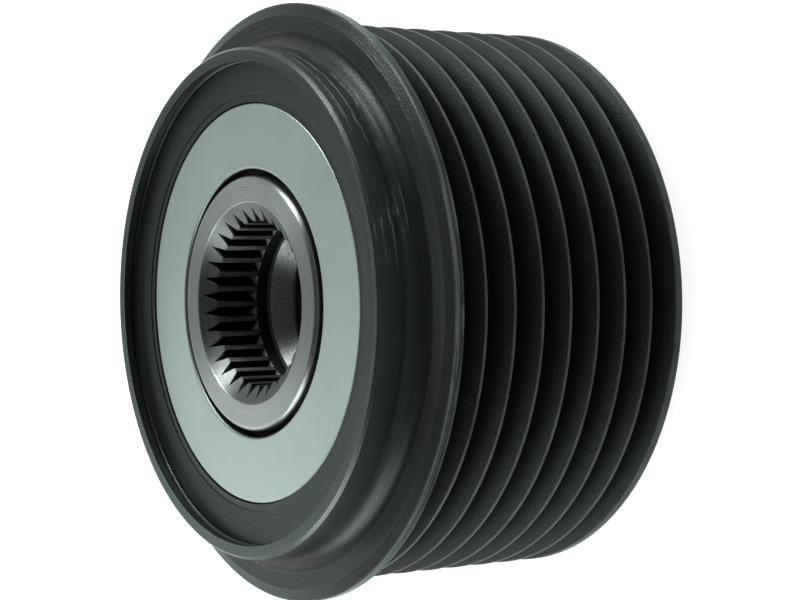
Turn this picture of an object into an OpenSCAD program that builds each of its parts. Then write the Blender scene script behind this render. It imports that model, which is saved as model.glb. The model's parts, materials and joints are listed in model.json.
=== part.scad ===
// Overrunning alternator pulley for an eight-rib belt.
// The axis is Z. The origin is the centre of the hub's rear seat face, and the tool side is up.

/* [Belt grooves] */
// Number of V grooves
groove_count = 8; // [7:1:9]
// Distance from one groove to the next
groove_pitch = 3.56; // [3.2:0.02:4]
// Full angle of a V groove
groove_angle = 40; // [36:1:44]
// Diameter over the crests between the grooves
crest_d = 60.8; // [58:0.2:66]
// Rounding of the crests
crest_round = 0.2; // [0.15:0.05:0.35]
// Rounding of the groove bottoms
root_round = 0.5; // [0.35:0.05:0.55]

/* [Pulley body] */
// Height of the pulley's rear face above the hub's seat
rear_standoff = 1.8; // [1:0.1:2.5]
// Width of the land behind the last groove
rear_land = 0.98; // [0.9:0.02:2]
// Rounding of the rear rim
rim_round = 0.5; // [0.3:0.05:0.8]
// Height of the front flange above the crests
flange_h = 1.9; // [1.5:0.1:5]
// Thickness of the flange at its foot
flange_w = 2; // [1.6:0.1:3]
// Radial width of the bevel on the flange's edge
flange_bevel = 1.3; // [0.6:0.1:1.6]
// Axial depth of the bevel on the flange's edge
flange_bevel_h = 0.5; // [0.3:0.05:0.7]
// Depth of the barrel in front of the flange below the crests
barrel_drop = 3.05; // [2:0.05:3.6]
// Length of the barrel in front of the flange
barrel_w = 5.2; // [4.6:0.1:7]
// Radius of the hollow between flange and barrel
neck_round = 2; // [1:0.1:2.4]

/* [Front recess] */
// Radial thickness of the front lip
lip_wall = 1.45; // [1:0.05:1.8]
// Bevel on the outer edge of the lip
lip_bevel = 0.3; // [0.1:0.05:0.5]
// Depth of the recess floor below the lip
recess_depth = 1.35; // [1:0.05:1.6]
// Radial depth of the snap groove at the foot of the lip
snap_groove = 0.4; // [0.2:0.05:0.6]
// Height of the snap groove
snap_groove_h = 0.5; // [0.3:0.05:0.7]
// Fall of the recess floor towards the cover
floor_fall = 0.25; // [0.1:0.05:0.3]
// Radial width of the narrow land round the cover
step_w = 0.75; // [0.4:0.05:1]
// Drop of that land below the floor
step_drop = 0.1; // [0.05:0.01:0.12]

/* [Front cover] */
// Width of the shoulder that the zinc-plated cover ring rests on
cover_seat_w = 0.55; // [0.3:0.05:0.8]
// Radial gap between the cover ring and the hub's nose
cover_gap = 0.65; // [0.4:0.05:1.2]
// Thickness of the cover ring
cover_t = 1.2; // [0.8:0.1:1.3]
// Rounding of the cover ring's edges
cover_round = 0.3; // [0.1:0.05:0.5]
// Depth of the cover's face below the lip
cover_depth = 1.8; // [1.75:0.05:1.95]

/* [Hub] */
// Depth of the hub's front face below the lip
hub_depth = 1.5; // [1.2:0.05:1.9]
// Step from the journal down to the hub's nose
nose_step = 0.25; // [0.1:0.05:0.5]
// Rounding of the nose's outer edge
nose_round = 0.5; // [0.2:0.05:0.7]
// Diameter of the long seat of the inner sleeve
journal_d = 28; // [26:0.1:30]
// Depth of the rear collar below the inner raceway
collar_drop = 0.5; // [0.2:0.1:0.9]
// Diameter of the foot that seats on the alternator
foot_d = 26.4; // [24:0.2:27]
// Height of the foot
foot_h = 1.4; // [0.8:0.1:1.8]
// Bevels on the hub's turned edges
hub_bevel = 0.5; // [0.2:0.05:0.6]
// Diameter of the smooth pilot bore for the shaft
pilot_d = 17; // [16.4:0.1:18]
// Depth of the pilot bore
pilot_h = 5; // [3:0.5:8]
// Minor diameter of the M16 x 1.5 thread
thread_d = 14.5; // [14:0.1:15]
// Radial height of the thread's ridges
thread_ridge_h = 0.75; // [0.5:0.05:0.95]
// Length of the smooth land between the shoulder and the thread
thread_land = 1; // [0.5:0.1:3]

/* [Tool socket] */
// Number of serration notches
notch_count = 33; // [24:1:40]
// Diameter over the notch tips
notch_tip_d = 20.8; // [20:0.1:21.6]
// Diameter between the flat crests of the serration
notch_crest_d = 17.8; // [17.2:0.1:18.6]
// Share of the circle that the notches take at their mouths
notch_share = 0.66; // [0.5:0.02:0.8]
// Depth of the notches' blind ends below the hub's face
notch_depth = 6.35; // [5.5:0.05:7.5]
// Depth of the conical shoulder's top below the hub's face
shoulder_depth = 8.15; // [7.8:0.05:9.4]
// Depth of the thread's top below the hub's face
thread_depth = 10.05; // [9.6:0.05:12]
// Diameter of the countersunk mouth
mouth_d = 21.9; // [21.7:0.1:23.4]
// Depth of the countersunk mouth
mouth_h = 1.3; // [0.6:0.1:1.6]

/* [Raceways and needles] */
// Wall of the inner sleeve at its raceways
inner_wall = 2.38; // [2.2:0.02:2.6]
// Diameter of a needle
needle_d = 3; // [2.6:0.05:3.2]
// Wall of the drawn outer sleeve
outer_wall = 1.48; // [1.2:0.02:1.6]
// Width of the outer sleeve's turned-in lip
sleeve_lip_w = 1; // [0.8:0.1:1.2]
// Radial height of the turned-in lip and of the ring at the other end
sleeve_lip_h = 1.9; // [1.2:0.1:2.4]
// Number of needles in each bearing
needle_count = 20; // [14:1:22]
// Width of a bearing cage
cage_w = 6.2; // [5:0.1:7]
// Width of the cage's end rings
cage_rim_w = 0.5; // [0.4:0.1:1]
// Radial thickness of a bearing cage
cage_t = 2.3; // [1.8:0.1:2.5]

/* [Clutch] */
// Number of clamping rollers
ramp_count = 10; // [8:1:11]
// Angle at which a roller clamps, from the middle of its flat ramp
clamp_angle = 9.9; // [9:0.1:11]
// Diameter of a clamping roller
clutch_roller_d = 3.6; // [3.4:0.05:3.8]
// Width of the clutch cage's end rings
clutch_rim_w = 1.1; // [0.8:0.1:1.4]
// Width of a cage bar, as an angle
clutch_bar_angle = 4.4; // [3.4:0.1:4.8]
// Radial thickness of the clutch cage
clutch_cage_t = 2.3; // [1.8:0.1:2.4]
// Number of legs of a folded spring
spring_legs = 7; // [5:2:9]
// Thickness of the spring strip
spring_t = 0.25; // [0.15:0.05:0.35]
// Space beside the spring strip in its window
spring_side_gap = 1.6; // [0.8:0.1:2]
// Thickness of a thrust ring
thrust_t = 0.8; // [0.6:0.1:1]

/* [Seals] */
// Sheet thickness of the seal carriers
seal_sheet = 0.8; // [0.6:0.1:1]
// Width of a seal carrier
seal_w = 2.9; // [2.4:0.1:3]
// Radial height of the rubber lips
lip_reach = 2.2; // [1.6:0.1:2.8]
// Thickness of the rubber lips
lip_t = 0.7; // [0.5:0.05:0.9]
// Depth of the rear carrier inside the pulley's rear face
rear_seal_depth = 0.5; // [0.2:0.1:0.6]

/* [Clearances] */
// Radial clearance of a pressed seat
seat_gap = 0.02; // [0.02:0.01:0.04]
// Radial running clearance of rollers and lips
run_gap = 0.05; // [0.04:0.01:0.08]
// Axial play between neighbours that turn against each other
end_play = 0.15; // [0.1:0.05:0.2]
// Clearance of a roller in its cage pocket
pocket_gap = 0.1; // [0.06:0.02:0.16]
// Radial clearance of the clutch's cage and thrust rings inside the outer raceway
cage_race_gap = 0.35; // [0.25:0.05:0.45]

/* [Hidden] */
$fn = 96;

// Numbers of the clutch's rollers and springs, as two digits
function two_digits(i) = i < 10 ? str("0", i) : str(i);
roller_names = [for (i = [1:ramp_count]) str("clutch_roller_", two_digits(i))];
spring_names = [for (i = [1:ramp_count]) str("clutch_spring_", two_digits(i))];

// Radii
crest_r = crest_d / 2;
flange_r = crest_r + flange_h;
barrel_r = crest_r - barrel_drop;
journal_r = journal_d / 2;
nose_r = journal_r - nose_step;
cover_hole_r = nose_r + cover_gap;
foot_r = foot_d / 2;
pilot_r = pilot_d / 2;
thread_r = thread_d / 2;
thread_root_r = thread_r + thread_ridge_h;
mouth_r = mouth_d / 2;
notch_tip_r = notch_tip_d / 2;
notch_crest_r = notch_crest_d / 2;
inner_race_r = journal_r + seat_gap + inner_wall;
collar_r = inner_race_r - collar_drop;
race_space = needle_d + 2 * run_gap;
outer_race_r = inner_race_r + race_space;
sleeve_r = outer_race_r + outer_wall;
seal_r = sleeve_r - seal_sheet;
bore_r = sleeve_r + seat_gap;
cover_r = bore_r + cover_seat_w;

// The V grooves: half angle, and where the flanks meet the rounded crests and bottoms
half_angle = groove_angle / 2;
crest_tangent_r = crest_r - crest_round * (1 - sin(half_angle));
crest_tangent_z = crest_round * cos(half_angle);
root_tangent_z = root_round * cos(half_angle);
flank_z = groove_pitch / 2 - crest_tangent_z - root_tangent_z;
root_tangent_r = crest_tangent_r - flank_z / tan(half_angle);
root_r = root_tangent_r - root_round * (1 - sin(half_angle));

// Heights of the pulley body
grooves_z = rear_standoff + rear_land;
flange_foot_z = grooves_z + groove_count * groove_pitch;
flange_face_z = flange_foot_z + flange_w;
front_z = flange_face_z + barrel_w;
floor_z = front_z - recess_depth;
cover_face_z = front_z - cover_depth;
cover_back_z = cover_face_z - cover_t;

// Heights in the hub's tool socket
hub_face_z = front_z - hub_depth;
notch_floor_z = hub_face_z - notch_depth;
shoulder_z = hub_face_z - shoulder_depth;
thread_top_z = hub_face_z - thread_depth;

// Heights of the seals and of the sleeves between them
rear_seal_z = rear_standoff + rear_seal_depth;
front_seal_z = cover_back_z - end_play - seal_w;
sleeve_z = rear_seal_z + seal_w + end_play;
sleeve_top_z = front_seal_z - end_play;

// Heights of the bearings, and the clutch in what is left between them
rear_cage_z = sleeve_z + sleeve_lip_w + end_play;
rear_thrust_z = rear_cage_z + cage_w + end_play;
clutch_z = rear_thrust_z + thrust_t + end_play;
end_ring_z = sleeve_top_z - thrust_t;
front_cage_z = end_ring_z - end_play - cage_w;
front_thrust_z = front_cage_z - end_play - thrust_t;
clutch_w = front_thrust_z - end_play - clutch_z;

// Rollers: the needles run midway between the raceways
needle_r = needle_d / 2;
needle_path_r = inner_race_r + race_space / 2;
sleeve_lip_r = outer_race_r - sleeve_lip_h;
cage_inner_r = needle_path_r - cage_t / 2;
needle_len = cage_w - 2 * (cage_rim_w + pocket_gap);
roller_bevel = 0.2;

// How far a cut runs past the faces that it opens, and how deep a notch starts inside the smooth bore
past = 1;
notch_run_in = 0.36;

// The clamping rollers stand where the gap between flat ramp and raceway narrows to their size
clutch_roller_r = clutch_roller_d / 2;
clutch_path_r = outer_race_r - run_gap - clutch_roller_r;
ramp_height = clutch_path_r * cos(clamp_angle) - clutch_roller_r - run_gap;
roller_half_angle = asin((clutch_roller_r + pocket_gap) / clutch_path_r);
ramp_step = 360 / ramp_count;
clutch_cage_r = outer_race_r - cage_race_gap;
clutch_cage_inner_r = clutch_cage_r - clutch_cage_t;
window_h = clutch_w - 2 * clutch_rim_w;
clutch_roller_len = window_h - 2 * pocket_gap;
bar_angle = clamp_angle + roller_half_angle;
window_angle = bar_angle + clutch_bar_angle - ramp_step;

// Points of a circular arc from angle a0 to a1, in a profile of radius and height
arc_steps = 5;
function arc(cr, cz, r, a0, a1) =
    [for (k = [0:arc_steps]) let (a = a0 + (a1 - a0) * k / arc_steps) [cr + r * cos(a), cz + r * sin(a)]];

// The rounded bottom of the groove that starts at height z
function groove_points(z) =
    arc(root_r + root_round, z + groove_pitch / 2, root_round, 270 - half_angle, 90 + half_angle);

// A full crest between two grooves
function crest_points(z) =
    arc(crest_r - crest_round, z, crest_round, half_angle - 90, 90 - half_angle);

// Outline of the belt side, from the rear rim to the flange's foot
function belt_points() = [
    for (i = [0:groove_count - 1])
        let (z = grooves_z + i * groove_pitch)
        each concat(groove_points(z), i < groove_count - 1 ? crest_points(z + groove_pitch) : [])
];

// Flange, neck, barrel and lip, from the foot of the flange to the recess wall.
// The neck is a straight slope here, and the pulley's module hollows it to its radius.
flange_edge_z = flange_foot_z - crest_tangent_z + (flange_r - crest_tangent_r) * tan(half_angle);
function front_points() = concat(
    [[flange_r, flange_edge_z]],
    [[flange_r, flange_face_z - flange_bevel_h]],
    [[flange_r - flange_bevel, flange_face_z]],
    [[barrel_r + neck_round, flange_face_z]],
    [[barrel_r, flange_face_z + neck_round]],
    [[barrel_r, front_z - lip_bevel]],
    [[barrel_r - lip_bevel, front_z]]
);

// Recess inside the lip, down to the mouth of the bore
recess_r = barrel_r - lip_wall;
step_r = cover_r + step_w;
function recess_points() = [
    [recess_r, front_z],
    [recess_r, floor_z + snap_groove_h],
    [recess_r + snap_groove, floor_z + snap_groove_h / 2],
    [recess_r, floor_z],
    [step_r, floor_z - floor_fall],
    [step_r, floor_z - floor_fall - step_drop],
    [cover_r + seat_gap, floor_z - floor_fall - step_drop],
    [cover_r + seat_gap, cover_back_z],
    [bore_r, cover_back_z]
];

function rear_points() = concat(
    [[bore_r, rear_standoff + rim_round]],
    [[bore_r + rim_round, rear_standoff]],
    arc(crest_r - rim_round, rear_standoff + rim_round, rim_round, 270, 360),
    arc(crest_r - crest_round, grooves_z, crest_round, 0, 90 - half_angle)
);

module pulley() {
    color([0.13, 0.14, 0.15])
    rotate_extrude()
    difference() {
        polygon(concat(rear_points(), belt_points(), front_points(), recess_points()));
        translate([barrel_r + neck_round, flange_face_z + neck_round]) circle(r = neck_round, $fn = 48);
    }
}

// A flat ring between two radii
module ring(inner, outer, z, h) {
    translate([0, 0, z])
    difference() {
        cylinder(r = outer, h = h);
        translate([0, 0, -past]) cylinder(r = inner, h = h + 2 * past);
    }
}

module front_cover() {
    color([0.66, 0.71, 0.72])
    rotate_extrude()
    polygon(concat(
        [[cover_r, cover_back_z]],
        arc(cover_r - cover_round, cover_face_z - cover_round, cover_round, 0, 90),
        arc(cover_hole_r + cover_round, cover_face_z - cover_round, cover_round, 90, 180),
        [[cover_hole_r, cover_back_z]]
    ));
}

// The nose's rounded edge stays within the wall round the mouth
nose_edge = min(nose_round, (nose_r - mouth_r) / 2);

// Outside of the hub from the seat to the nose, and its stepped bore back down
function hub_outline() = concat(
    [[pilot_r + hub_bevel, 0]],
    [[foot_r - hub_bevel, 0]],
    [[foot_r, hub_bevel]],
    [[foot_r, foot_h]],
    [[collar_r - hub_bevel, foot_h]],
    [[collar_r, foot_h + hub_bevel]],
    [[collar_r, sleeve_z]],
    [[journal_r, sleeve_z]],
    [[journal_r, sleeve_top_z]],
    [[nose_r, sleeve_top_z + hub_bevel]],
    arc(nose_r - nose_edge, hub_face_z - nose_edge, nose_edge, 0, 90),
    [[mouth_r, hub_face_z]],
    [[notch_crest_r, hub_face_z - mouth_h]],
    [[notch_crest_r, shoulder_z]],
    [[thread_r, thread_top_z]],
    [[thread_r, thread_top_z - thread_land]],
    [[thread_root_r, thread_top_z - thread_land - thread_ridge_h]],
    [[thread_root_r, pilot_h]],
    [[pilot_r, pilot_h]],
    [[pilot_r, hub_bevel]]
);

// The notches in plan, each a triangle that starts inside the smooth bore
notch_step = 360 / notch_count;
notch_root_r = notch_crest_r - notch_run_in;
notch_half_w = notch_share * PI * notch_crest_r / notch_count;
notch_root_w = notch_half_w * (notch_tip_r - notch_root_r) / (notch_tip_r - notch_crest_r);
notch_root_angle = asin(notch_root_w / notch_root_r);
function notch_points() = [
    for (i = [0:notch_count - 1])
        each [
            notch_root_r * [cos(i * notch_step - notch_root_angle), sin(i * notch_step - notch_root_angle)],
            notch_tip_r * [cos(i * notch_step), sin(i * notch_step)],
            notch_root_r * [cos(i * notch_step + notch_root_angle), sin(i * notch_step + notch_root_angle)]
        ]
];

module hub() {
    color([0.55, 0.54, 0.53])
    difference() {
        rotate_extrude() polygon(hub_outline());
        translate([0, 0, notch_floor_z])
        linear_extrude(height = notch_depth + past)
        polygon(notch_points());
    }
}

// Inner sleeve: two round raceways with the flat clamping ramps between them
module ramp_sleeve() {
    bore = journal_r + seat_gap;
    ramp_w = clutch_w + 2 * end_play;
    color([0.6, 0.6, 0.62])
    difference() {
        ring(bore, inner_race_r, sleeve_z + seat_gap, sleeve_top_z - sleeve_z - seat_gap);
        translate([0, 0, clutch_z - end_play])
        difference() {
            cylinder(r = inner_race_r + past, h = ramp_w);
            rotate([0, 0, ramp_step / 2])
            translate([0, 0, -past])
            cylinder(r = ramp_height / cos(ramp_step / 2), h = ramp_w + 2 * past, $fn = ramp_count);
        }
    }
}

// Drawn outer sleeve with its turned-in rear lip
module outer_sleeve() {
    bend = sleeve_lip_w / 2;
    color([0.5, 0.5, 0.52])
    rotate_extrude()
    polygon(concat(
        [[sleeve_lip_r, sleeve_z]],
        arc(sleeve_r - bend, sleeve_z + bend, bend, 270, 360),
        [[sleeve_r, sleeve_top_z]],
        [[outer_race_r, sleeve_top_z]],
        [[outer_race_r, sleeve_z + sleeve_lip_w]],
        [[sleeve_lip_r, sleeve_z + sleeve_lip_w]]
    ));
}

// Ring that closes the front of the outer sleeve
module outer_end_ring() {
    color([0.45, 0.45, 0.47])
    ring(sleeve_lip_r, outer_race_r - seat_gap, end_ring_z, thrust_t);
}

// Thrust rings at both ends of the clutch, seated on the inner sleeve
module thrust_ring(z) {
    color([0.62, 0.6, 0.55])
    ring(inner_race_r + seat_gap, clutch_cage_r, z, thrust_t);
}

module front_thrust_ring() {
    thrust_ring(front_thrust_z);
}

module rear_thrust_ring() {
    thrust_ring(rear_thrust_z);
}

// Plastic cage of a needle bearing, one pocket for each needle
module needle_cage(z) {
    pocket_w = 2 * (needle_r + pocket_gap);
    pocket_h = needle_len + 2 * pocket_gap;
    color([0.24, 0.22, 0.18])
    difference() {
        ring(cage_inner_r, cage_inner_r + cage_t, z, cage_w);
        for (i = [0:needle_count - 1])
            rotate([0, 0, i * 360 / needle_count])
            translate([cage_inner_r - past, -pocket_w / 2, z + (cage_w - pocket_h) / 2])
            cube([cage_t + 2 * past, pocket_w, pocket_h]);
    }
}

module front_cage() {
    needle_cage(front_cage_z);
}

module rear_cage() {
    needle_cage(rear_cage_z);
}

// A roller with bevelled ends, standing on its lower end
module roller(r, h) {
    rotate_extrude()
    polygon([
        [0, 0], [r - roller_bevel, 0], [r, roller_bevel],
        [r, h - roller_bevel], [r - roller_bevel, h], [0, h]
    ]);
}

module needles(z) {
    color([0.7, 0.7, 0.72])
    for (i = [0:needle_count - 1])
        rotate([0, 0, i * 360 / needle_count])
        translate([needle_path_r, 0, z + (cage_w - needle_len) / 2])
        roller(needle_r, needle_len);
}

module front_needles() {
    needles(front_cage_z);
}

module rear_needles() {
    needles(rear_cage_z);
}

// A sector of the clutch cage's window, in plan
module window_sector(a0, a1) {
    far = clutch_cage_r * 1.2;
    polygon([
        [0, 0],
        far * [cos(a0), sin(a0)],
        far * [cos((a0 + a1) / 2), sin((a0 + a1) / 2)],
        far * [cos(a1), sin(a1)]
    ]);
}

module clutch_cage() {
    color([0.75, 0.7, 0.55])
    difference() {
        ring(clutch_cage_inner_r, clutch_cage_r, clutch_z, clutch_w);
        for (i = [0:ramp_count - 1])
            rotate([0, 0, i * ramp_step])
            translate([0, 0, clutch_z + clutch_rim_w])
            linear_extrude(height = window_h)
            window_sector(window_angle, bar_angle);
    }
}

module clutch_roller(i) {
    color([0.72, 0.72, 0.74])
    rotate([0, 0, i * ramp_step + clamp_angle])
    translate([clutch_path_r, 0, clutch_z + (clutch_w - clutch_roller_len) / 2])
    roller(clutch_roller_r, clutch_roller_len);
}

// Folded strip spring between a cage bar and the back of its roller.
// Its first and last legs stand along the radius, flat on the bar and on the roller.
spring_inner_r = clutch_cage_inner_r + pocket_gap;
spring_outer_r = clutch_cage_r - pocket_gap;
spring_w = window_h - 2 * spring_side_gap;
bar_gap_angle = pocket_gap / clutch_path_r * 180 / PI;
spring_strip_angle = spring_t / clutch_path_r * 180 / PI;
spring_angle = window_angle + bar_gap_angle;
spring_end_angle = clamp_angle - roller_half_angle - spring_strip_angle;
spring_fold_angle = (spring_end_angle - spring_angle) / (spring_legs - 2);
function polar(r, a) = r * [cos(a), sin(a)];
function fold_angle(k) = spring_angle + min(max(k - 1, 0), spring_legs - 2) * spring_fold_angle;
function fold_r(k) = k % 2 == 0 ? spring_inner_r : spring_outer_r;

// Outer side of fold k, and the point inside the fold where its two legs meet
function fold_back(k) = [polar(fold_r(k), fold_angle(k)), polar(fold_r(k), fold_angle(k) + spring_strip_angle)];
function fold_inside(k) =
    let (u = spring_strip_angle / (fold_angle(k + 1) - fold_angle(k - 1)))
    polar(fold_r(k) + u * (fold_r(k + 1) - fold_r(k)), fold_angle(k) + u * (fold_angle(k + 1) - fold_angle(k)));

module clutch_spring(i) {
    color([0.5, 0.55, 0.62])
    rotate([0, 0, i * ramp_step])
    translate([0, 0, clutch_z + (clutch_w - spring_w) / 2])
    linear_extrude(height = spring_w)
    polygon(concat(
        [fold_back(0)[0]],
        [for (k = [1:spring_legs - 1]) each k % 2 == 1 ? fold_back(k) : [fold_inside(k)]],
        fold_back(spring_legs),
        [for (k = [spring_legs - 1:-1:1])
            each k % 2 == 1 ? [fold_inside(k)] : [fold_back(k)[1], fold_back(k)[0]]],
        [fold_back(0)[1]]
    ));
}

// A seal carrier: a tube pressed in the bore, with a web that turns in towards the hub
module seal_case(z, web_z, web_inner_r) {
    color([0.35, 0.36, 0.38]) {
        ring(seal_r, sleeve_r, z, seal_w);
        ring(web_inner_r, sleeve_r, web_z, seal_sheet);
    }
}

front_web_r = nose_r + run_gap + lip_reach;
rear_web_r = collar_r + run_gap + lip_reach;

module front_seal_case() {
    seal_case(front_seal_z, front_seal_z + seal_w - seal_sheet, front_web_r);
}

module rear_seal_case() {
    seal_case(rear_seal_z, rear_seal_z, rear_web_r);
}

// Rubber lip from the carrier's web to the surface that it runs on.
// It leans towards the bearings, and thins towards its running edge.
module seal_lip(outer_r, inner_r, z, lean) {
    foot = lip_t / 2;
    edge = lip_t / 4;
    color([0.08, 0.08, 0.09])
    rotate_extrude()
    polygon([
        [outer_r, z - foot],
        [outer_r, z + foot],
        [inner_r + lip_t, z + foot + lean],
        [inner_r, z + edge + lean],
        [inner_r, z - edge + lean],
        [inner_r + lip_t, z - foot + lean]
    ]);
}

module front_seal_lip() {
    web_z = front_seal_z + seal_w - seal_sheet / 2;
    seal_lip(front_web_r - seat_gap, nose_r + run_gap, web_z, -lip_t);
}

module rear_seal_lip() {
    web_z = rear_seal_z + seal_sheet / 2;
    seal_lip(rear_web_r - seat_gap, collar_r + run_gap, web_z, lip_t);
}

pulley();
front_cover();
hub();
ramp_sleeve();
outer_sleeve();
outer_end_ring();
front_thrust_ring();
rear_thrust_ring();
clutch_cage();
front_cage();
rear_cage();
front_needles();
rear_needles();
front_seal_case();
front_seal_lip();
rear_seal_case();
rear_seal_lip();
for (i = [1:ramp_count]) {
    clutch_roller(i);
    clutch_spring(i);
}
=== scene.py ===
import json
import math

import bpy
from mathutils import Matrix, Vector


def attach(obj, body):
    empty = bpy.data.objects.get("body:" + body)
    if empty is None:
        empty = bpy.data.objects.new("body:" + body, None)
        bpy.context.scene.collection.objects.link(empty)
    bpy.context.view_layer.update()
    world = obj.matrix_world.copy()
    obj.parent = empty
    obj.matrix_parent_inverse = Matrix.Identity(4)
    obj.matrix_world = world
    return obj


MM = 0.001

# The camera looks at the groove crest nearest the flange, from beside and in front of the pulley.
AIM_HEIGHT = 27.7 * MM
CAMERA_DISTANCE = 234.07 * MM
CAMERA_ANGLE = 1.0055
CAMERA_YAW = -0.0372
CAMERA_ROLL = -0.0228
LENS = 95.81
SENSOR = 36.0

# Thread in the hub's bore
THREAD_ROOT_R = 8.0 * MM
THREAD_RIDGE_H = 0.75 * MM
THREAD_PITCH = 1.5 * MM
THREAD_LOW = 5.8 * MM
THREAD_HIGH = 24.9 * MM
THREAD_SINK = 0.05 * MM
THREAD_STEPS_A_TURN = 48

# Places on the pulley that its coat's tones, painted highlights and painted shade follow
CREST_R = 30.4 * MM
FLANGE_FOOT = 31.26 * MM
FLANGE_FACE = 33.26 * MM
FLANGE_CORNER = 32.76 * MM
FLANGE_R = 32.3 * MM
RECESS_LOW = 36.7 * MM
LIP_TOP = 38.46 * MM
BARREL_R = 27.35 * MM
GROOVE_ROOT_R = 27.3 * MM

COVER_HOLE_R = 14.4 * MM
COVER_R = 21.55 * MM

# Places on the hub's nose and in its socket
NOSE_R = 13.75 * MM
NOTCH_CREST_R = 8.9 * MM
NOTCH_TIP_R = 10.4 * MM
NOTCH_FLOOR = 30.61 * MM
SOCKET_TOP = 35.6 * MM
MOUTH_R = 10.95 * MM
MOUTH_TOP = 36.88 * MM
SHOULDER_TOP = 28.81 * MM
SHOULDER_FOOT = 26.91 * MM

FLOOR_HALF = 3.0
FLOOR_DROP = 0.02 * MM
FLOOR_PAPER = 0.35
FLOOR_GLOW = 0.86

# The studio is pale round the horizon and dim overhead.
HORIZON_LEVEL = 0.9
OVERHEAD_LEVEL = 0.08
PALE_UP_TO = 0.08
DIM_FROM = 0.88

# Each lamp: name, place, the point it faces, width, height, radiance
LAMPS = [
    ("lamp_key", (-0.17, 0.30, 0.37), (0, 0, 0.03), 0.07, 0.07, 34.0),
    ("lamp_front", (-0.42, -0.20, 0.24), (0, 0, 0.03), 0.34, 0.26, 1.1),
    ("lamp_low_side", (-0.03, -0.42, 0.13), (0, 0, 0.02), 0.34, 0.20, 7.5),
    ("lamp_high_side", (0.03, 0.42, 0.09), (0, 0, 0.02), 0.20, 0.14, 11.0),
    ("lamp_high_flanks", (-0.08, 0.34, 0.30), (0, 0, 0.02), 0.15, 0.15, 20.0),
    ("lamp_low_flanks", (-0.05, -0.34, 0.30), (0, 0, 0.02), 0.22, 0.22, 6.5),
]


class Finish:
    """One procedural finish, built node by node round a Principled shader."""

    def __init__(self, name, colour, metallic, roughness):
        self.material = bpy.data.materials.new(name)
        self.material.use_nodes = True
        self.tree = self.material.node_tree
        self.shader = self.tree.nodes["Principled BSDF"]
        self.shader.inputs["Base Color"].default_value = (*colour, 1)
        self.shader.inputs["Metallic"].default_value = metallic
        self.shader.inputs["Roughness"].default_value = roughness
        coordinates = self.tree.nodes.new("ShaderNodeTexCoord")
        self.place = coordinates.outputs["Object"]
        self.facing = coordinates.outputs["Normal"]

    def link(self, source, target):
        self.tree.links.new(source, target)

    def math(self, operation, a, b=None):
        node = self.tree.nodes.new("ShaderNodeMath")
        node.operation = operation
        for socket, value in zip(node.inputs, (a, b)):
            if isinstance(value, (int, float)):
                socket.default_value = value
            elif value is not None:
                self.link(value, socket)
        return node.outputs[0]

    def times(self, *values):
        result = values[0]
        for value in values[1:]:
            result = self.math("MULTIPLY", result, value)
        return result

    def split(self, vector):
        node = self.tree.nodes.new("ShaderNodeSeparateXYZ")
        self.link(vector, node.inputs[0])
        return node.outputs

    def radius_and_height(self):
        x, y, z = self.split(self.place)
        radius = self.math("SQRT", self.math("ADD", self.times(x, x), self.times(y, y)))
        return radius, z

    def upward(self):
        """1 on faces that look up, 0 on walls and on faces that look down."""
        return self.step(self.split(self.facing)[2], 0.3, 0.8)

    def noise(self, vector, scale, detail=2.0, roughness=0.5):
        node = self.tree.nodes.new("ShaderNodeTexNoise")
        node.inputs["Scale"].default_value = scale
        node.inputs["Detail"].default_value = detail
        node.inputs["Roughness"].default_value = roughness
        self.link(vector, node.inputs["Vector"])
        return node.outputs["Fac"]

    def turning(self, scale, detail=3.0, wander=0.0):
        """Tool marks: fine rings on faces, fine lines round cylinders, which fade in and out over wander."""
        radius, height = self.radius_and_height()
        joined = self.tree.nodes.new("ShaderNodeCombineXYZ")
        self.link(radius, joined.inputs[0])
        self.link(height, joined.inputs[1])
        if wander:
            around = self.noise(self.place, wander)
            self.link(self.times(around, 0.0012), joined.inputs[2])
        return self.noise(joined.outputs[0], scale, detail, 0.6)

    def spread(self, value, low, high):
        """Spreads the middle of a noise over a range."""
        node = self.tree.nodes.new("ShaderNodeMapRange")
        node.inputs["From Min"].default_value = 0.3
        node.inputs["From Max"].default_value = 0.7
        node.inputs["To Min"].default_value = low
        node.inputs["To Max"].default_value = high
        self.link(value, node.inputs["Value"])
        return node.outputs["Result"]

    def step(self, value, zero_at, one_at):
        node = self.tree.nodes.new("ShaderNodeMapRange")
        node.interpolation_type = "SMOOTHSTEP"
        node.inputs["From Min"].default_value = zero_at
        node.inputs["From Max"].default_value = one_at
        self.link(value, node.inputs["Value"])
        return node.outputs["Result"]

    def band(self, value, low, high, soft):
        """1 between low and high, falling to 0 over soft on both sides."""
        return self.times(self.step(value, low - soft, low), self.step(value, high + soft, high))

    def blend(self, factor, a, b, kind="FLOAT"):
        node = self.tree.nodes.new("ShaderNodeMix")
        node.data_type = kind
        sockets = [s for s in node.inputs if s.enabled]
        for socket, value in zip(sockets, (factor, a, b)):
            if isinstance(value, tuple):
                socket.default_value = (*value, 1)
            elif isinstance(value, (int, float)):
                socket.default_value = value
            else:
                self.link(value, socket)
        return [s for s in node.outputs if s.enabled][0]

    def tint(self, factor, a, b):
        return self.blend(factor, a, b, "RGBA")

    def colour(self, value):
        self.link(value, self.shader.inputs["Base Color"])

    def roughness(self, value):
        self.link(value, self.shader.inputs["Roughness"])

    def bump(self, *layers):
        """Each layer is a height value and how far it reaches, in metres."""
        normal = None
        for height, reach in layers:
            node = self.tree.nodes.new("ShaderNodeBump")
            node.inputs["Distance"].default_value = reach
            self.link(height, node.inputs["Height"])
            if normal is not None:
                self.link(normal, node.inputs["Normal"])
            normal = node.outputs["Normal"]
        self.link(normal, self.shader.inputs["Normal"])


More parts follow.
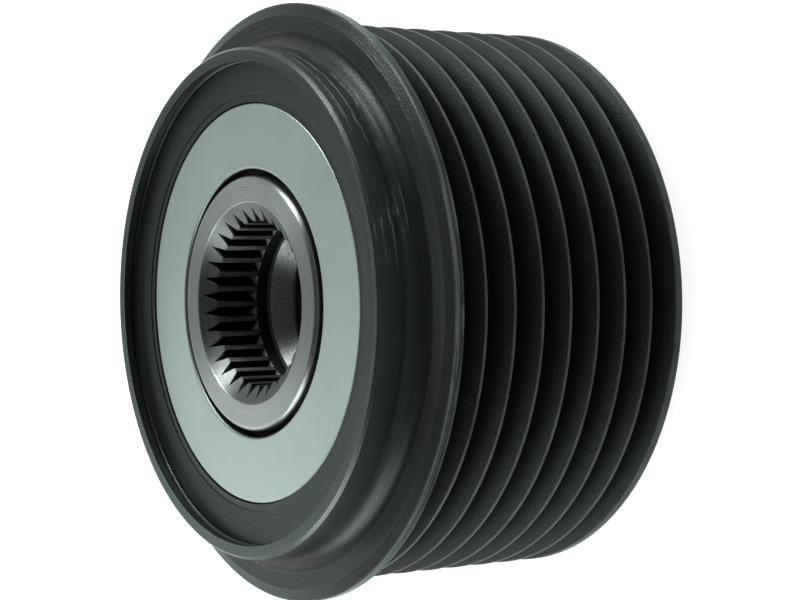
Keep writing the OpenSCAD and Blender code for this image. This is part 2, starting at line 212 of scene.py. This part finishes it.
def coated_steel():
    """Black coat on turned steel, thin and greyer on the front faces, with painted highlights along the crests,
    the flange corner and the barrel's upper side, and painted shade in the grooves and on the flange bevel.
    """
    f = Finish("coated_steel", (0.008, 0.009, 0.009), 0.0, 0.32)
    f.shader.inputs["Specular Tint"].default_value = (0.86, 1.0, 1.0, 1)
    radius, height = f.radius_and_height()
    lines = f.turning(3600, 4, 70)
    fine = f.turning(9000, 2, 120)
    grain = f.noise(f.place, 5200, 3, 0.6)
    blotch = f.noise(f.place, 160, 3, 0.6)
    patches = f.spread(f.noise(f.place, 900, 4, 0.7), 0.35, 1.0)
    # noise that breaks up the painted crest and corner highlights
    highlight_breaks = f.spread(f.noise(f.place, 190, 4, 0.7), 0.1, 1.0)
    upward = f.upward()

    coat = f.tint(f.spread(blotch, 0, 1), (0.006, 0.0072, 0.0072), (0.0105, 0.0122, 0.0122))
    outside = f.times(f.step(height, FLANGE_FACE, FLANGE_FACE + 0.8 * MM), f.step(radius, BARREL_R - 0.4 * MM, BARREL_R))
    # painted highlight: lighter turning-line streaks on the barrel, only on its upper (+Y) side, where the key
    # lamp's reflection falls
    highlight_lines = f.times(f.step(f.turning(2600, 5, 160), 0.52, 0.62), f.step(f.noise(f.place, 120, 2, 0.6), 0.42, 0.6))
    painted_streak_highlight = f.times(outside, f.math("SUBTRACT", 1, upward), highlight_lines, f.step(f.split(f.place)[1], 0, 8 * MM))
    coat = f.tint(painted_streak_highlight, coat, (0.11, 0.121, 0.121))
    grooves = f.step(height, FLANGE_FOOT + 0.05 * MM, FLANGE_FOOT - 0.05 * MM)
    painted_flank_light = f.times(grooves, f.step(radius, GROOVE_ROOT_R + 0.6 * MM, CREST_R))
    # painted shade: the coat is darker over the whole grooved zone
    coat = f.tint(grooves, coat, (0.004, 0.0048, 0.0048))
    # painted light and shade: the groove flanks lighten from the roots towards the crests, as light reaching into
    # the grooves would, over a grainy tone
    coat = f.tint(painted_flank_light, coat, f.tint(f.spread(grain, 0, 1), (0.004, 0.0048, 0.0047), (0.025, 0.0295, 0.0285)))
    flange = f.times(f.step(radius, CREST_R + 0.2 * MM, CREST_R + 0.5 * MM), patches)
    coat = f.tint(flange, coat, (0.030, 0.034, 0.034))
    lip = f.step(height, RECESS_LOW - 0.3 * MM, RECESS_LOW)
    face = f.band(height, FLANGE_CORNER + 0.05 * MM, FLANGE_FACE + 0.01 * MM, 0.02 * MM)
    front = f.times(f.math("ADD", lip, face), upward)
    floor_grey = f.tint(f.spread(lines, 0, 1), (0.040, 0.044, 0.044), (0.056, 0.061, 0.061))
    lip_grey = f.tint(f.spread(lines, 0, 1), (0.060, 0.067, 0.067), (0.090, 0.099, 0.099))
    face_grey = f.tint(f.spread(lines, 0, 1), (0.033, 0.0365, 0.0365), (0.040, 0.0445, 0.0445))
    # painted shade: the bevel is darker than the face it belongs to, holding down the reflection it catches
    bevel = f.step(height, FLANGE_FACE - 0.02 * MM, FLANGE_FACE - 0.05 * MM)
    face_grey = f.tint(bevel, face_grey, (0.023, 0.0255, 0.0255))
    grey = f.tint(f.step(height, LIP_TOP - 0.05 * MM, LIP_TOP - 0.02 * MM), f.tint(lip, face_grey, floor_grey), lip_grey)
    coat = f.tint(front, coat, grey)
    # painted highlight: a lighter line along each crest, where the rounded crests would catch light
    painted_crest_highlight = f.times(
        f.band(radius, CREST_R - 0.05 * MM, CREST_R + 0.05 * MM, 0.1 * MM),
        grooves,
        highlight_breaks,
    )
    coat = f.tint(painted_crest_highlight, coat, (0.062, 0.069, 0.069))
    edge = f.times(f.step(radius, FLANGE_R - 0.1 * MM, FLANGE_R - 0.05 * MM), f.math("SUBTRACT", 1, front))
    coat = f.tint(edge, coat, f.tint(f.step(lines, 0.4, 0.62), (0.009, 0.010, 0.010), (0.052, 0.057, 0.057)))
    # painted highlight: a light line at the flange's outer corner, standing in for the gleam of a rounded edge
    # that the shape lacks
    painted_corner_highlight = f.times(
        f.band(height, FLANGE_CORNER - 0.06 * MM, FLANGE_CORNER + 0.03 * MM, 0.06 * MM),
        f.step(radius, FLANGE_R - 0.4 * MM, FLANGE_R - 0.2 * MM),
        highlight_breaks,
    )
    f.colour(f.tint(painted_corner_highlight, coat, (0.11, 0.121, 0.121)))
    bare = f.blend(face, f.math("MAXIMUM", front, edge), 0.5)
    f.link(f.times(bare, 0.85, f.math("MAXIMUM", upward, edge)), f.shader.inputs["Metallic"])
    f.link(f.blend(grooves, 0.14, f.blend(painted_flank_light, 0.04, 0.17)), f.shader.inputs["Specular IOR Level"])
    smooth = f.math("ADD", f.spread(lines, 0.24, 0.34), f.spread(grain, -0.03, 0.05))
    f.roughness(f.math("ADD", smooth, f.times(grooves, 0.12)))
    f.bump((lines, 0.000022), (fine, 0.00001), (grain, 0.00002), (f.times(grain, grooves), 0.00003))
    return f.material


def zinc_plate():
    f = Finish("zinc_plate", (0.50, 0.62, 0.61), 1.0, 0.36)
    grain = f.noise(f.place, 3800, 3, 0.6)
    rings = f.turning(4200, 3)
    cloud = f.noise(f.place, 110, 2, 0.5)
    radius, height = f.radius_and_height()
    plate = f.tint(f.spread(cloud, 0, 1), (0.455, 0.568, 0.55), (0.49, 0.607, 0.585))
    # painted shade: the cover's rim at its hole, by the dark gap round the hub, and its outer rolled edge are
    # darkened against the reflections they catch
    edges = f.math(
        "MAXIMUM",
        f.step(radius, COVER_HOLE_R + 0.3 * MM, COVER_HOLE_R + 0.05 * MM),
        f.times(f.step(radius, COVER_R - 0.3 * MM, COVER_R - 0.1 * MM), 0.85),
    )
    f.colour(f.tint(edges, plate, (0.10, 0.12, 0.12)))
    f.roughness(f.math("ADD", f.spread(grain, 0.35, 0.43), f.spread(rings, -0.02, 0.02)))
    f.bump((grain, 0.000012), (rings, 0.000004))
    return f.material


def turned_steel():
    """Bare steel, bright outside, with painted shade near black inside the serration and the bore, and painted
    darker on the mouth, the shoulder cone and the nose edge.
    """
    f = Finish("turned_steel", (0.36, 0.40, 0.39), 1.0, 0.32)
    f.shader.inputs["Anisotropic"].default_value = 0.7
    f.shader.inputs["Anisotropic Rotation"].default_value = 0.25
    round_axis = f.tree.nodes.new("ShaderNodeTangent")
    round_axis.direction_type = "RADIAL"
    round_axis.axis = "Z"
    f.link(round_axis.outputs["Tangent"], f.shader.inputs["Tangent"])
    radius, height = f.radius_and_height()
    rings = f.turning(5600, 3, 80)
    grain = f.noise(f.place, 4200, 3, 0.6)
    x, y, z = f.split(f.place)
    upright = f.tree.nodes.new("ShaderNodeCombineXYZ")
    for socket, value in zip(upright.inputs, (x, y, f.times(z, 0.12))):
        f.link(value, socket)
    drag = f.noise(upright.outputs[0], 2600, 3, 0.6)

    steel = f.tint(f.spread(rings, 0, 1), (0.30, 0.34, 0.33), (0.38, 0.43, 0.42))
    walls = f.times(
        f.step(radius, NOTCH_TIP_R + 0.2 * MM, NOTCH_TIP_R - 0.05 * MM),
        f.band(height, SHOULDER_TOP + 0.5 * MM, SOCKET_TOP, 0.2 * MM),
    )
    ends = f.times(
        f.band(height, NOTCH_FLOOR - 0.05 * MM, NOTCH_FLOOR + 0.04 * MM, 0.03 * MM),
        f.step(radius, NOTCH_CREST_R - 0.02 * MM, NOTCH_CREST_R + 0.1 * MM),
    )
    tops = f.times(
        f.step(radius, NOTCH_CREST_R + 0.08 * MM, NOTCH_CREST_R + 0.02 * MM),
        f.step(height, NOTCH_FLOOR, NOTCH_FLOOR + 0.3 * MM),
        f.spread(drag, 0.1, 1.0),
    )
    bore = f.times(
        f.step(height, SHOULDER_FOOT + 0.1 * MM, SHOULDER_FOOT - 0.5 * MM),
        f.step(radius, NOTCH_CREST_R + 0.1 * MM, NOTCH_CREST_R - 0.3 * MM),
    )
    # painted shade: the serration walls and the bore are near black, with lighter dragged streaks on the notch
    # crests above the notch floor
    painted_socket_shade = f.tint(tops, (0.02, 0.02, 0.019), (0.12, 0.122, 0.118))
    # painted shade: the mouth, the shoulder cone and the nose edge get darker copies of the same steel, toning
    # down their reflections
    mouth = f.times(f.band(height, SOCKET_TOP, MOUTH_TOP, 0.06 * MM), f.step(radius, MOUTH_R + 0.02 * MM, MOUTH_R))
    steel = f.tint(mouth, steel, f.tint(f.spread(grain, 0, 1), (0.10, 0.114, 0.111), (0.155, 0.174, 0.17)))
    cone = f.times(
        f.band(height, SHOULDER_FOOT, SHOULDER_TOP, 0.05 * MM),
        f.step(radius, NOTCH_CREST_R + 0.1 * MM, NOTCH_CREST_R - 0.05 * MM),
    )
    steel = f.tint(cone, steel, f.tint(f.spread(grain, 0, 1), (0.10, 0.112, 0.11), (0.23, 0.255, 0.25)))
    nose = f.step(radius, NOSE_R - 0.3 * MM, NOSE_R - 0.1 * MM)
    steel = f.tint(nose, steel, (0.12, 0.135, 0.13))
    dark = f.math("MAXIMUM", f.times(walls, f.math("SUBTRACT", 1, ends)), bore)
    f.colour(f.tint(dark, steel, painted_socket_shade))
    f.link(f.math("SUBTRACT", 1, f.times(ends, 0.8)), f.shader.inputs["Metallic"])
    bright = f.math("ADD", f.spread(rings, 0.27, 0.38), f.times(f.math("MAXIMUM", mouth, cone), 0.1))
    f.roughness(f.blend(dark, bright, 0.5))
    f.bump((rings, 0.000008), (grain, 0.000004))
    return f.material


def race_steel():
    f = Finish("race_steel", (0.50, 0.50, 0.51), 1.0, 0.2)
    rings = f.turning(7000, 2)
    f.roughness(f.spread(rings, 0.15, 0.26))
    f.bump((rings, 0.000003))
    return f.material


def roller_steel():
    f = Finish("roller_steel", (0.62, 0.62, 0.63), 1.0, 0.12)
    grain = f.noise(f.place, 5000, 2)
    f.roughness(f.spread(grain, 0.09, 0.16))
    f.bump((grain, 0.000001))
    return f.material


def spring_steel():
    f = Finish("spring_steel", (0.34, 0.37, 0.43), 1.0, 0.3)
    heat = f.noise(f.place, 420, 3)
    f.colour(f.tint(f.spread(heat, 0, 1), (0.30, 0.33, 0.42), (0.42, 0.40, 0.36)))
    f.roughness(f.spread(f.noise(f.place, 3000, 2), 0.25, 0.36))
    return f.material


def seal_steel():
    f = Finish("seal_steel", (0.055, 0.056, 0.06), 0.6, 0.5)
    crystals = f.noise(f.place, 6000, 3, 0.7)
    f.colour(f.tint(f.spread(crystals, 0, 1), (0.04, 0.041, 0.045), (0.085, 0.086, 0.09)))
    f.roughness(f.spread(crystals, 0.42, 0.6))
    f.bump((crystals, 0.000006))
    return f.material


def seal_rubber():
    f = Finish("seal_rubber", (0.012, 0.012, 0.012), 0.0, 0.62)
    grain = f.noise(f.place, 4500, 3, 0.6)
    f.roughness(f.spread(grain, 0.55, 0.72))
    f.bump((grain, 0.000008))
    return f.material


def moulded(name, colour, shade):
    f = Finish(name, colour, 0.0, 0.45)
    flow = f.noise(f.place, 700, 3)
    grain = f.noise(f.place, 4200, 3)
    f.colour(f.tint(f.spread(flow, 0, 1), colour, shade))
    f.roughness(f.spread(grain, 0.38, 0.52))
    f.bump((grain, 0.000006))
    return f.material


def dress_nodes(frame):
    finishes = {
        "coated_steel": coated_steel(),
        "zinc_plate": zinc_plate(),
        "turned_steel": turned_steel(),
        "race_steel": race_steel(),
        "roller_steel": roller_steel(),
        "spring_steel": spring_steel(),
        "seal_steel": seal_steel(),
        "seal_rubber": seal_rubber(),
        "cage_plastic": moulded("cage_plastic", (0.035, 0.03, 0.024), (0.05, 0.043, 0.035)),
        "clutch_plastic": moulded("clutch_plastic", (0.42, 0.34, 0.19), (0.48, 0.40, 0.24)),
    }
    for part in frame["record"]["subparts"]:
        node = frame["nodes"][part["node"]]
        node.data.materials.clear()
        node.data.materials.append(finishes[part["material_slot"]])
    return finishes


def select_points(piece, chosen):
    """Selects the points of a mesh that chosen accepts, and the edges between them, in edit mode."""
    bpy.ops.object.mode_set(mode="EDIT")
    bpy.ops.mesh.select_all(action="DESELECT")
    bpy.ops.object.mode_set(mode="OBJECT")
    picked = {v.index for v in piece.data.vertices if chosen(v.co)}
    for vertex in piece.data.vertices:
        vertex.select = vertex.index in picked
    for edge in piece.data.edges:
        edge.select = set(edge.vertices) <= picked
    bpy.ops.object.mode_set(mode="EDIT")


def thread_ridges(finish):
    """One right-handed ridge wound up the hub's bore, with its crest facing the axis."""
    foot = THREAD_PITCH * 0.96
    middle_r = THREAD_ROOT_R - THREAD_RIDGE_H / 2
    turns = (THREAD_HIGH - THREAD_LOW) / THREAD_PITCH
    bpy.ops.object.select_all(action="DESELECT")
    bpy.ops.mesh.primitive_plane_add(size=1, location=(middle_r, 0, THREAD_LOW), rotation=(math.pi / 2, 0, 0))
    ridge = bpy.context.object
    ridge.name = "thread_ridges"
    ridge.scale = (THREAD_RIDGE_H, foot, 1)
    bpy.ops.object.transform_apply(location=True, rotation=True, scale=True)
    select_points(ridge, lambda place: place.x < middle_r)
    bpy.ops.transform.resize(value=(1, 1, 0.13), center_override=(middle_r, 0, THREAD_LOW))
    select_points(ridge, lambda place: place.x > middle_r)
    bpy.ops.mesh.extrude_region_move(TRANSFORM_OT_translate={"value": (THREAD_SINK, 0, 0)})
    select_points(ridge, lambda place: abs(place.x - THREAD_ROOT_R) < THREAD_SINK / 4)
    bpy.ops.mesh.dissolve_edges(use_verts=False)
    bpy.ops.object.mode_set(mode="OBJECT")
    wind = ridge.modifiers.new("wind", "SCREW")
    wind.axis = "Z"
    wind.angle = 2 * math.pi * turns
    wind.screw_offset = THREAD_HIGH - THREAD_LOW
    wind.steps = wind.render_steps = int(THREAD_STEPS_A_TURN * turns)
    bpy.ops.object.modifier_apply(modifier="wind")
    bpy.ops.object.mode_set(mode="EDIT")
    bpy.ops.mesh.select_all(action="SELECT")
    bpy.ops.mesh.fill_holes(sides=8)
    bpy.ops.mesh.normals_make_consistent(inside=False)
    bpy.ops.object.mode_set(mode="OBJECT")
    ridge.data.materials.append(finish)
    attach(ridge, "hub")


def add_camera():
    s, c = math.sin(CAMERA_ANGLE), math.cos(CAMERA_ANGLE)
    upright = Matrix(((c, 0, s), (0, 1, 0), (-s, 0, c)))
    turn = Matrix.Rotation(CAMERA_YAW, 3, "Y") @ Matrix.Rotation(CAMERA_ROLL, 3, "Z")
    bpy.ops.object.camera_add()
    camera = bpy.context.object
    camera.name = "camera"
    place = Vector((CAMERA_DISTANCE * s, 0, AIM_HEIGHT + CAMERA_DISTANCE * c))
    camera.matrix_world = Matrix.Translation(place) @ (upright @ turn).to_4x4()
    camera.data.sensor_width = SENSOR
    camera.data.lens = LENS
    camera.data.clip_start = 0.005
    camera.data.clip_end = 20
    bpy.context.scene.camera = camera


def add_floor():
    """White paper, which also glows for rays that come from the camera or from a gloss."""
    bpy.ops.mesh.primitive_grid_add(x_subdivisions=8, y_subdivisions=8, size=2 * FLOOR_HALF)
    floor = bpy.context.object
    floor.name = "floor"
    for vertex in floor.data.vertices:
        vertex.co.z -= FLOOR_DROP
    material = bpy.data.materials.new("floor_paper")
    material.use_nodes = True
    tree = material.node_tree
    tree.nodes.clear()
    output = tree.nodes.new("ShaderNodeOutputMaterial")
    paper = tree.nodes.new("ShaderNodeBsdfDiffuse")
    paper.inputs["Color"].default_value = (FLOOR_PAPER, FLOOR_PAPER, FLOOR_PAPER, 1)
    glow = tree.nodes.new("ShaderNodeEmission")
    both = tree.nodes.new("ShaderNodeAddShader")
    path = tree.nodes.new("ShaderNodeLightPath")
    seen = path.outputs["Is Camera Ray"]
    for ray in ("Is Glossy Ray", "Is Transmission Ray"):
        either = tree.nodes.new("ShaderNodeMath")
        either.operation = "MAXIMUM"
        tree.links.new(seen, either.inputs[0])
        tree.links.new(path.outputs[ray], either.inputs[1])
        seen = either.outputs[0]
    level = tree.nodes.new("ShaderNodeMath")
    level.operation = "MULTIPLY"
    level.inputs[1].default_value = FLOOR_GLOW
    tree.links.new(seen, level.inputs[0])
    tree.links.new(level.outputs[0], glow.inputs["Strength"])
    tree.links.new(paper.outputs[0], both.inputs[0])
    tree.links.new(glow.outputs[0], both.inputs[1])
    tree.links.new(both.outputs[0], output.inputs["Surface"])
    floor.data.materials.append(material)


def add_studio():
    world = bpy.data.worlds.new("studio")
    bpy.context.scene.world = world
    world.use_nodes = True
    tree = world.node_tree
    background = tree.nodes["Background"]
    background.inputs["Color"].default_value = (1, 1, 1, 1)
    direction = tree.nodes.new("ShaderNodeTexCoord").outputs["Generated"]
    split = tree.nodes.new("ShaderNodeSeparateXYZ")
    level = tree.nodes.new("ShaderNodeMapRange")
    level.interpolation_type = "SMOOTHSTEP"
    level.inputs["From Min"].default_value = PALE_UP_TO
    level.inputs["From Max"].default_value = DIM_FROM
    level.inputs["To Min"].default_value = HORIZON_LEVEL
    level.inputs["To Max"].default_value = OVERHEAD_LEVEL
    tree.links.new(direction, split.inputs[0])
    tree.links.new(split.outputs["Z"], level.inputs["Value"])
    tree.links.new(level.outputs["Result"], background.inputs["Strength"])


def add_lamps():
    for name, place, aim, width, height, radiance in LAMPS:
        bpy.ops.object.light_add(type="AREA", location=place)
        lamp = bpy.context.object
        lamp.name = name
        lamp.data.shape = "RECTANGLE"
        lamp.data.size = width
        lamp.data.size_y = height
        lamp.data.energy = radiance * math.pi * width * height
        lamp.rotation_mode = "QUATERNION"
        lamp.rotation_quaternion = (Vector(aim) - Vector(place)).to_track_quat("-Z", "Y")
        lamp.visible_camera = False


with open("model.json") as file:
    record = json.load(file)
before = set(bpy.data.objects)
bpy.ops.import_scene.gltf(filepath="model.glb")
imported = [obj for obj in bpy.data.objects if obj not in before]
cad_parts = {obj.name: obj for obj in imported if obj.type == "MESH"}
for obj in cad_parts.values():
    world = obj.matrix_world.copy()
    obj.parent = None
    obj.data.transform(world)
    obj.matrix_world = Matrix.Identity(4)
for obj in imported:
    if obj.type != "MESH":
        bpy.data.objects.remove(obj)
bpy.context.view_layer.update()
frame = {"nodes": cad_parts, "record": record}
bpy.context.scene.view_settings.view_transform = "Standard"
add_camera()
add_floor()
add_studio()
add_lamps()
finishes = dress_nodes(frame)
thread_ridges(finishes["turned_steel"])
